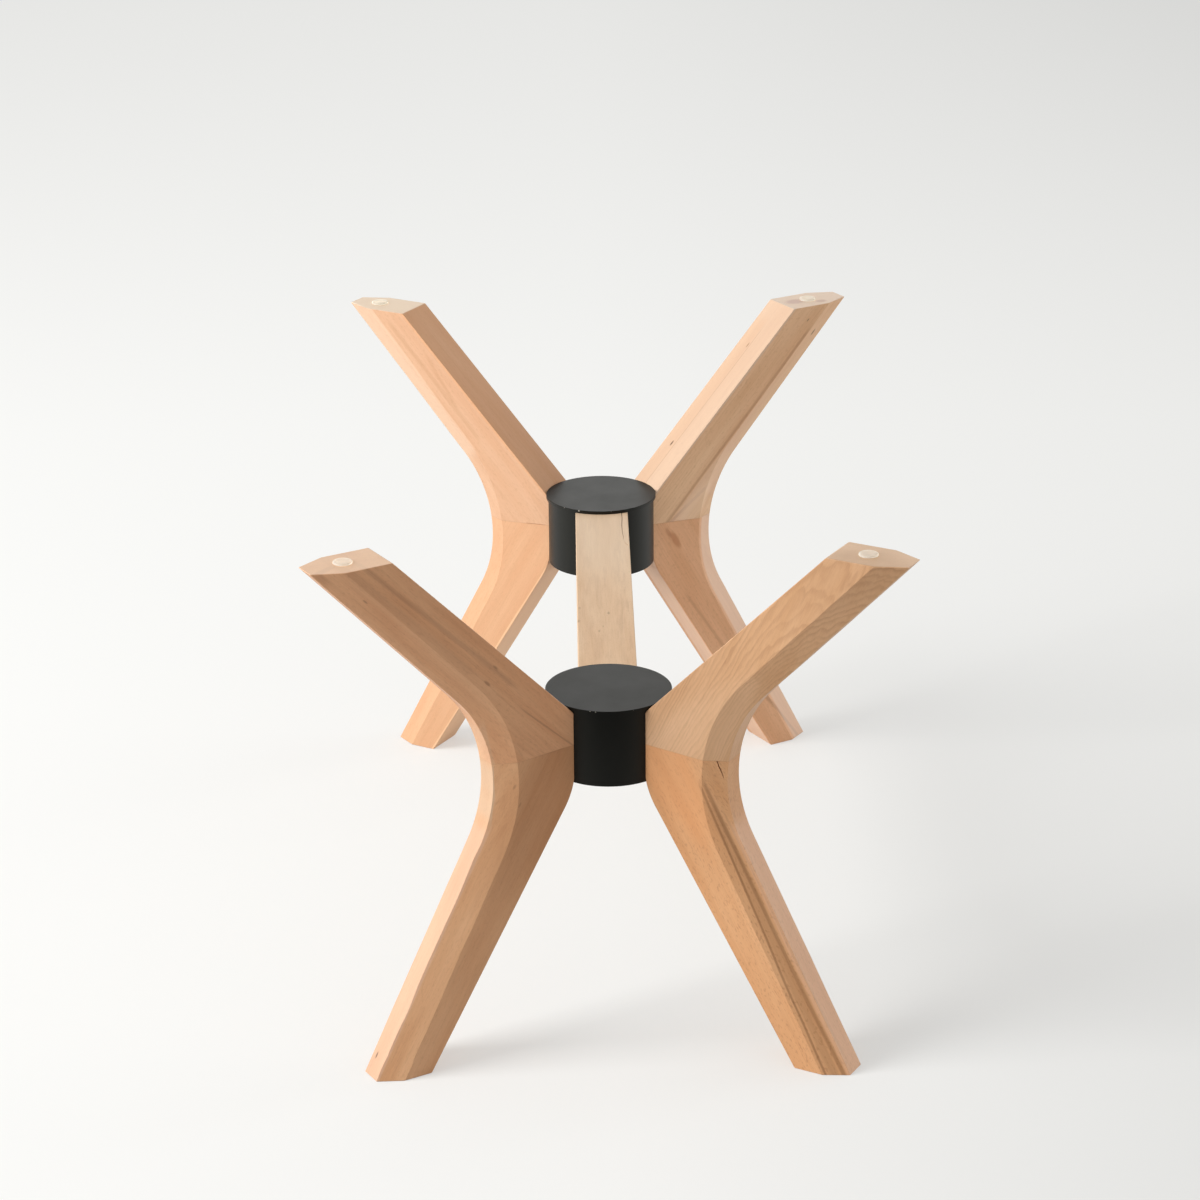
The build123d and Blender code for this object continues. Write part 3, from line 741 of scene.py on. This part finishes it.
chance = add_node(fastener_tree, "FunctionNodeRandomValue", {
    3: given["Loose turn"], "Seed": loose_seed}, data_type="FLOAT")
tightened = add_node(fastener_tree, "ShaderNodeCombineXYZ", {"X": chance.outputs[1]})
placed = add_node(fastener_tree, "GeometryNodeRotateInstances", {
    "Instances": placed.outputs[0], "Rotation": tightened.outputs[0], "Local Space": True})
whole = add_node(fastener_tree, "GeometryNodeRealizeInstances", {"Geometry": placed.outputs[0]})
turn = add_node(fastener_tree, "ShaderNodeCombineXYZ", {"Z": given["First turn"]})
whole = add_node(fastener_tree, "GeometryNodeTransform", {
    "Geometry": whole.outputs[0], "Translation": given["Middle"], "Rotation": turn.outputs[0]})
whole = add_node(fastener_tree, "GeometryNodeSetMaterial", {
    "Geometry": whole.outputs[0], "Material": given["Finish"]})
add_node(fastener_tree, "NodeGroupOutput", {"Geometry": whole.outputs[0]})


def ring(x, outline, steps=96):
    """A ring of points about the X axis, in mm, whose radius follows an outline."""
    points = []
    for step in range(steps):
        angle = 2 * math.pi * step / steps
        radius = outline(step, angle)
        points.append(Vector((x, radius * math.cos(angle), radius * math.sin(angle))) * MM)
    return points


def round_of(radius):
    """The outline of a plain round."""
    return lambda step, angle: radius


def knurl_of(radius, groove=0.16):
    """The outline of a straight knurl with a ridge at every other point."""
    return lambda step, angle: radius - groove * (step % 2)


def hexagon_of(flats):
    """The outline of a hexagon, by its width across the flats."""
    return lambda step, angle: flats / 2 / math.cos((angle + math.pi / 6) % (math.pi / 3) - math.pi / 6)


# From the tip of the shank, through the bearing face and the knurled head, to the floor of the socket
bolt_profile = [
    (20.0, round_of(2.2)), (19.2, round_of(3.0)), (0.0, round_of(3.0)), (0.0, round_of(4.5)),
    (-0.35, knurl_of(5.0)), (-5.2, knurl_of(5.0)), (-5.55, round_of(4.75)), (-6.0, round_of(4.3)),
    (-6.0, hexagon_of(5.5)), (-5.75, hexagon_of(5.0)), (-3.0, hexagon_of(5.0)), (-2.6, round_of(1.2))]
bolt = skinned("bolt", [ring(x, outline) for x, outline in bolt_profile])
# Round the washer's section: share of the way from its flat face to the curve of the bore, and radius in mm
washer_profile = [(0.0, 3.3), (0.0, 6.8), (0.08, 7.0), (1.0, 7.0), (1.0, 3.3)]
washer_rings = []
for share, radius in washer_profile:
    washer_rings.append([
        Vector((share * (math.sqrt(bore_radius ** 2 - point.y ** 2) - seat_radius), point.y, point.z))
        for point in ring(0.0, round_of(radius))])
washer = skinned("washer", washer_rings, loop=True)
# The first pair holds the stretcher at the front hub, and the right leg at the rear one. A bolt's hexagon
# stops at any angle, and a washer sits square to the bore.
for hub, first_turn in (("front", 90.0), ("rear", 30.0)):
    middle = (hub_axis[hub].x, hub_axis[hub].y, bolts_height)
    for fastener, master, loose_turn in (("washers", washer, 0.0), ("bolts", bolt, 60.0)):
        mesh = applied(master, "NODES", node_group=fastener_tree, sizes={
            "Seat radius": seat_radius, "First turn": math.radians(first_turn), "Pitch": bolt_pitch,
            "Middle": middle, "Loose turn": math.radians(loose_turn), "Finish": plated_steel})
        keep_piece(f"{hub}_hub_{fastener}_plated", mesh, "plated_steel", f"{hub}_hub_{fastener}")


# Bumpers: a clear silicone disc is stuck by eye on the top of each leg, for the table top to rest on.
# Each is moulded with a rounded edge and a very slightly dished face.
bumper_profile = [(6.5, 0.04), (6.85, 0.2), (7.0, 0.6), (6.95, 1.0), (6.75, 1.4), (6.35, 1.72),
                  (5.8, 1.92), (5.2, 2.0), (4.4, 1.97), (2.4, 1.95)]
# Moulded clear silicone: a soft gloss over a milky body that lights up where a lamp shines through it
silicone, tree = new_material("clear_silicone")
shader = add_node(tree, "ShaderNodeBsdfPrincipled", {
    "Base Color": linear("#F1F0EA"), "Roughness": 0.25, "IOR": 1.41, "Transmission Weight": 0.45})
milk = add_node(tree, "ShaderNodeBsdfTranslucent", {"Color": linear("#FFFDF6")})
body = add_node(tree, "ShaderNodeMixShader", {0: 0.5, 1: shader.outputs["BSDF"], 2: milk.outputs[0]})
clear = add_node(tree, "ShaderNodeBsdfTransparent", {"Color": linear("#D8D7D2")})
ray = add_node(tree, "ShaderNodeLightPath")
through = add_node(tree, "ShaderNodeMixShader", {
    0: ray.outputs["Is Shadow Ray"], 1: body.outputs[0], 2: clear.outputs[0]})
add_node(tree, "ShaderNodeOutputMaterial", {"Surface": through.outputs[0]})
for leg in leg_turns:
    low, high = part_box(f"{leg}_bumper")
    middle = (low + high) / 2
    rings = []
    for radius, height in bumper_profile:
        level = low.z + height * MM
        circle = ring(0.0, round_of(radius))
        rings.append([Vector((middle.x + point.y, middle.y + point.z, level)) for point in circle])
    mesh = skinned(f"{leg}_bumper", rings)
    mesh.materials.append(silicone)
    keep_piece(f"{leg}_bumper_moulded", mesh, "clear_silicone", f"{leg}_bumper")


# Floor: a wide sheet of white studio paper, laid flat under the base, with painted shade that greys it a
# little to the right.
# In reflections its front edge is just below the picture, where the black paint mirrors the dark studio
# floor, and from below it is clear.
floor_size = 12.0
floor_mesh = bpy.data.meshes.new("studio_floor")
floor_mesh.from_pydata(
    [(-floor_size, -floor_size, 0.0), (floor_size, -floor_size, 0.0), (floor_size, floor_size, 0.0),
     (-floor_size, floor_size, 0.0)], [], [(0, 1, 2, 3)])
floor = bpy.data.objects.new("studio_floor", floor_mesh)
bpy.context.scene.collection.objects.link(floor)


def shown_rays(tree):
    """Whether a ray comes from the camera, or by way of a reflection or a clear piece."""
    ray = add_node(tree, "ShaderNodeLightPath")
    shown = add_node(tree, "ShaderNodeMath", {
        0: ray.outputs["Is Camera Ray"], 1: ray.outputs["Is Glossy Ray"]}, operation="MAXIMUM")
    return add_node(tree, "ShaderNodeMath", {
        0: shown.outputs[0], 1: ray.outputs["Is Transmission Ray"]}, operation="MAXIMUM").outputs[0]


# White paper: matt, evenly pale into the distance, and greyer to the right with painted shade, most of all
# near the front
paper, tree = new_material("white_paper_sweep")
picture_front, picture_back, picture_right, base_back = -0.45, 1.2, 1.2, 0.5
camera_foot, below_picture = -3.0, -0.75
sheet_end, sheet_full = -0.72, -0.5
place = add_node(tree, "ShaderNodeTexCoord")
spot = add_node(tree, "ShaderNodeSeparateXYZ", {0: place.outputs["Object"]})
far = add_node(tree, "ShaderNodeMapRange", {
    "Value": spot.outputs["Y"], "From Min": picture_front, "From Max": picture_back,
    "To Min": 0.43, "To Max": 0.495})
# Painted shade: the glow falls away to the right, and more so near the front
right = add_node(tree, "ShaderNodeMapRange", {
    "Value": spot.outputs["X"], "From Min": 0.0, "From Max": picture_right, "To Min": 0.0, "To Max": -0.17})
nearness = add_node(tree, "ShaderNodeMapRange", {
    "Value": spot.outputs["Y"], "From Min": picture_front, "From Max": base_back,
    "To Min": 1.6, "To Max": 0.6})
in_picture = add_node(tree, "ShaderNodeMapRange", {
    "Value": spot.outputs["Y"], "From Min": camera_foot, "From Max": below_picture, "To Min": 0.4},
    interpolation_type="SMOOTHSTEP")
nearness = add_node(tree, "ShaderNodeMath", {
    0: nearness.outputs[0], 1: in_picture.outputs[0]}, operation="MULTIPLY")
level = add_node(tree, "ShaderNodeMath", {
    0: right.outputs[0], 1: nearness.outputs[0], 2: far.outputs[0]}, operation="MULTIPLY_ADD")
lit = add_node(tree, "ShaderNodeBsdfDiffuse", {"Color": linear("#B9B9B7")})
glow = add_node(tree, "ShaderNodeEmission", {"Color": linear("#FEFEFC"), "Strength": level.outputs[0]})
white = add_node(tree, "ShaderNodeAddShader", {0: lit.outputs[0], 1: glow.outputs[0]})
front = add_node(tree, "ShaderNodeMapRange", {
    "Value": spot.outputs["Y"], "From Min": sheet_end, "From Max": sheet_full},
    interpolation_type="SMOOTHSTEP")
ray = add_node(tree, "ShaderNodeLightPath")
front = add_node(tree, "ShaderNodeMath", {
    0: front.outputs[0], 1: ray.outputs["Is Camera Ray"]}, operation="MAXIMUM")
dark = add_node(tree, "ShaderNodeBsdfDiffuse", {"Color": linear("#181818")})
white = add_node(tree, "ShaderNodeMixShader", {
    0: front.outputs[0], 1: dark.outputs[0], 2: white.outputs[0]})
grey = add_node(tree, "ShaderNodeBsdfDiffuse", {"Color": linear("#CFCFCD")})
sheet = add_node(tree, "ShaderNodeMixShader", {
    0: shown_rays(tree), 1: grey.outputs[0], 2: white.outputs[0]})
side = add_node(tree, "ShaderNodeNewGeometry")
clear = add_node(tree, "ShaderNodeBsdfTransparent")
seen = add_node(tree, "ShaderNodeMixShader", {
    0: side.outputs["Backfacing"], 1: sheet.outputs[0], 2: clear.outputs[0]})
add_node(tree, "ShaderNodeOutputMaterial", {"Surface": seen.outputs[0]})
floor_mesh.materials.append(paper)


# Light: one large softbox from the left, a weak panel low on the right, and the pale surroundings of a
# studio, whose backdrop is white behind the object, most of all low down, and dark behind the camera.
scene = bpy.context.scene
scene.view_settings.view_transform = "Standard"
world = bpy.data.worlds.new("pale_studio")
scene.world = world
world.use_nodes = True
tree = world.node_tree
tree.nodes.clear()
place = add_node(tree, "ShaderNodeTexCoord")
way = add_node(tree, "ShaderNodeSeparateXYZ", {0: place.outputs["Generated"]})
behind = add_node(tree, "ShaderNodeMapRange", {
    "Value": way.outputs["Y"], "From Min": -0.5, "From Max": 0.6, "To Min": 0.08, "To Max": 1.0})
low_down = add_node(tree, "ShaderNodeMapRange", {
    "Value": way.outputs["Z"], "From Min": 0.30, "From Max": 0.45, "To Min": 2.05, "To Max": 0.41})
behind = add_node(tree, "ShaderNodeMath", {
    0: behind.outputs[0], 1: low_down.outputs[0]}, operation="MULTIPLY")
ray = add_node(tree, "ShaderNodeLightPath")
behind = add_node(tree, "ShaderNodeMath", {
    0: behind.outputs[0], 1: ray.outputs["Is Camera Ray"]}, operation="MAXIMUM")
surround = add_node(tree, "ShaderNodeBackground", {"Color": linear("#FFFFFF"), "Strength": 0.50})
backdrop = add_node(tree, "ShaderNodeBackground", {
    "Color": linear("#F0F0EE"), "Strength": behind.outputs[0]})
mixed = add_node(tree, "ShaderNodeMixShader", {
    0: shown_rays(tree), 1: surround.outputs[0], 2: backdrop.outputs[0]})
add_node(tree, "ShaderNodeOutputWorld", {"Surface": mixed.outputs[0]})

# Each softbox has its place and size in metres, and its power in watts
softboxes = {
    "key_softbox": (Vector((-3.4, -1.1, 2.0)), 2.1, 160.0),
    "fill_panel": (Vector((3.2, 0.75, 0.6)), 2.0, 35.0),
}
aim = Vector((0.0, 0.0, 0.2))
for name, (from_where, size, watts) in softboxes.items():
    lamp = bpy.data.lights.new(name, "AREA")
    lamp.shape = "SQUARE"
    lamp.size = size
    lamp.energy = watts
    lamp_object = bpy.data.objects.new(name, lamp)
    scene.collection.objects.link(lamp_object)
    lamp_object.location = from_where
    lamp_object.rotation_euler = (aim - from_where).to_track_quat("-Z", "Y").to_euler()
    lamp_object.visible_camera = False


# Camera: a long lens that looks down on the base from in front, nearly along the stretcher. Its place,
# turn and focal length are those that were fitted to points of the photograph.
focal_pixels, image_pixels, sensor_width = 3427.05, 1200.0, 36.0
tilt, yaw, roll = math.radians(20.954), math.radians(0.547), math.radians(-0.516)
camera_place = (-27.716 * MM, -2522.967 * MM, 1214.048 * MM)
camera = bpy.data.cameras.new("camera")
camera.sensor_width = sensor_width
camera.lens = focal_pixels / image_pixels * sensor_width
camera_object = bpy.data.objects.new("camera", camera)
scene.collection.objects.link(camera_object)
camera_object.matrix_world = (
    Matrix.Translation(camera_place)
    @ Matrix.Rotation(-yaw, 4, "Z")
    @ Matrix.Rotation(math.radians(90) - tilt, 4, "X")
    @ Matrix.Rotation(roll, 4, "Z"))
scene.camera = camera_object
